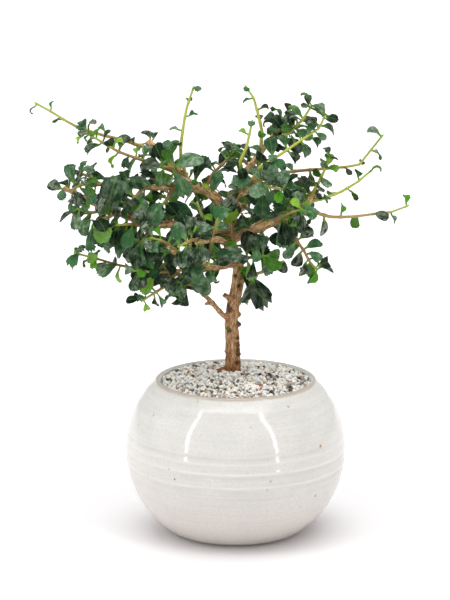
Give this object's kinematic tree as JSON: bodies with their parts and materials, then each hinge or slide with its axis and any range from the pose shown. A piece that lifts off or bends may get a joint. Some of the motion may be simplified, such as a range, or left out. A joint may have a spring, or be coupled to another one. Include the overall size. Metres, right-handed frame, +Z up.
{
  "type": "potted bonsai tree",
  "caption": "Small bonsai tree with a branching bark trunk and small dark leaves, rooted in grit-topped soil in a round glazed pot.",
  "frame": {"origin": "centre of the pot's flat underside, on the surface it stands on", "axes": "+Z up; X to the right and Y to the back as the tree is seen from its front, -Y"},
  "size_m": [0.2589, 0.1874, 0.3099],
  "materials": {
    "glaze": "gloss",
    "mesh": "matte",
    "soil": "matte",
    "grit": "matte",
    "bark": "matte",
    "leaf": "satin"
  },
  "bodies": {
    "root": {"pot": "glaze", "drainage_mesh": "mesh", "soil": "soil", "stone_grit": "grit", "trunk": "bark", "left_upper_limb": "bark", "centre_right_limb": "bark", "left_level_limb": "bark", "left_middle_limb": "bark", "front_left_limb": "bark", "low_limb": "bark", "right_inner_limb": "bark", "right_limb": "bark", "back_limb": "bark", "front_limb": "bark", "far_left_shoot": "leaf", "far_left_low_shoot": "leaf", "top_left_shoot": "leaf", "upper_left_spur": "leaf", "level_tip_spur": "leaf", "level_middle_spur": "leaf", "level_inner_spur": "leaf", "middle_tip_shoot": "leaf", "middle_low_shoot": "leaf", "middle_droop_shoot": "leaf", "middle_front_shoot": "leaf", "middle_hanging_spur": "leaf", "middle_back_shoot": "leaf", "lower_left_shoot": "leaf", "lower_left_hanging_shoot": "leaf", "lowest_left_shoot": "leaf", "low_tip_shoot": "leaf", "low_front_shoot": "leaf", "front_left_tip_shoot": "leaf", "front_left_top_spur": "leaf", "front_tip_shoot": "leaf", "front_low_shoot": "leaf", "front_rising_shoot": "leaf", "yellow_left_shoot": "leaf", "centre_left_shoot": "leaf", "yellow_centre_shoot": "leaf", "top_shoot": "leaf", "right_top_shoot": "leaf", "right_top_outer_shoot": "leaf", "centre_back_shoot": "leaf", "green_right_shoot": "leaf", "right_upper_shoot": "leaf", "right_inner_front_shoot": "leaf", "right_long_shoot": "leaf", "right_middle_shoot": "leaf", "yellow_right_shoot": "leaf", "right_front_shoot": "leaf", "right_back_shoot": "leaf", "right_drop_shoot": "leaf", "right_low_shoot": "leaf", "front_right_shoot": "leaf", "back_left_shoot": "leaf", "back_tip_shoot": "leaf", "back_right_shoot": "leaf", "back_rising_shoot": "leaf"}
  },
  "joints": []
}
